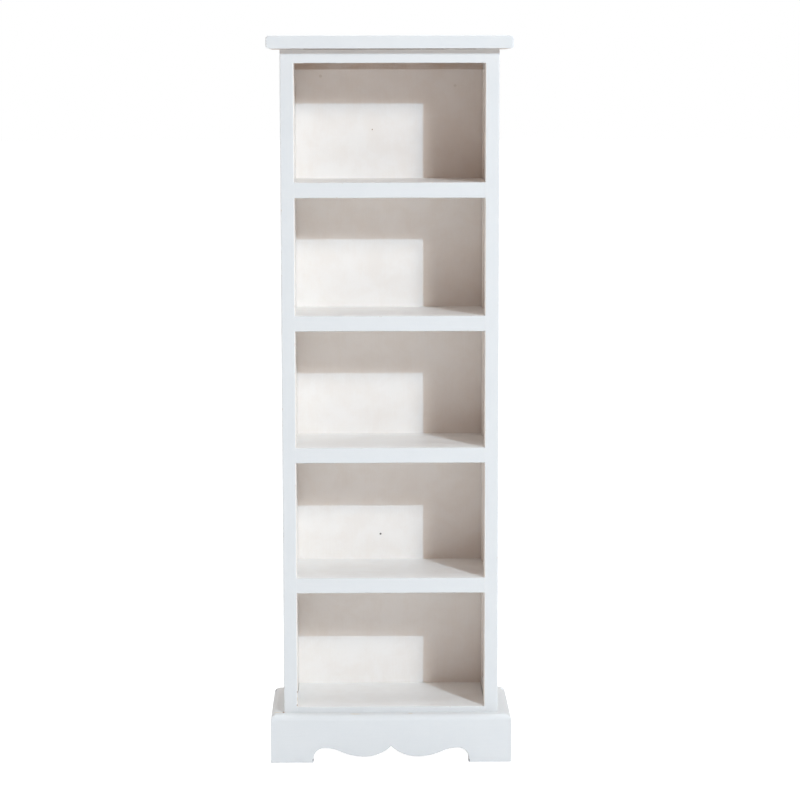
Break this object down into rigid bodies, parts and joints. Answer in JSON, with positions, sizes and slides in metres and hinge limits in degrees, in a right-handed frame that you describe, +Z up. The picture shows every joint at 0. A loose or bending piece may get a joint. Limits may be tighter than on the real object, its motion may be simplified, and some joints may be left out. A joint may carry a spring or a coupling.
{
  "type": "bookcase",
  "caption": "Tall narrow miniature bookcase with open shelves, frame-and-panel sides, a rounded top board and a scalloped plinth.",
  "frame": {"origin": "centre of the footprint, on the floor", "axes": "+Z up along the height; the open front faces -Y and the back panel +Y; X across the width, with +X on the right-hand side seen from the front"},
  "size_m": [0.0622, 0.0314, 0.186],
  "materials": {
    "white_paint": "satin white paint over wood, brushed and rubbed back at the edges",
    "inside_paint": "thin matt white paint over board, slightly warm and blotchy",
    "bare_wood": "bare birch",
    "steel": "plain steel"
  },
  "bodies": {
    "root": {"top_board": "white_paint", "front_stile_left": "white_paint", "front_stile_right": "white_paint", "top_rail_front": "white_paint", "shelf_rail_1": "white_paint", "shelf_rail_2": "white_paint", "shelf_rail_3": "white_paint", "shelf_rail_4": "white_paint", "bottom_rail_front": "white_paint", "rear_post_left": "white_paint", "rear_post_right": "white_paint", "top_rail_rear": "white_paint", "bottom_rail_rear": "white_paint", "top_rail_left": "white_paint", "top_rail_right": "white_paint", "bottom_rail_left": "white_paint", "bottom_rail_right": "white_paint", "plinth_front": "white_paint", "plinth_left": "white_paint", "plinth_right": "white_paint", "side_panel_left": "inside_paint", "side_panel_right": "inside_paint", "back_panel": "inside_paint", "shelf_board_1": "inside_paint", "shelf_board_2": "inside_paint", "shelf_board_3": "inside_paint", "shelf_board_4": "inside_paint", "floor_board": "inside_paint", "top_dowels": "bare_wood", "back_brads": "steel"}
  },
  "joints": []
}
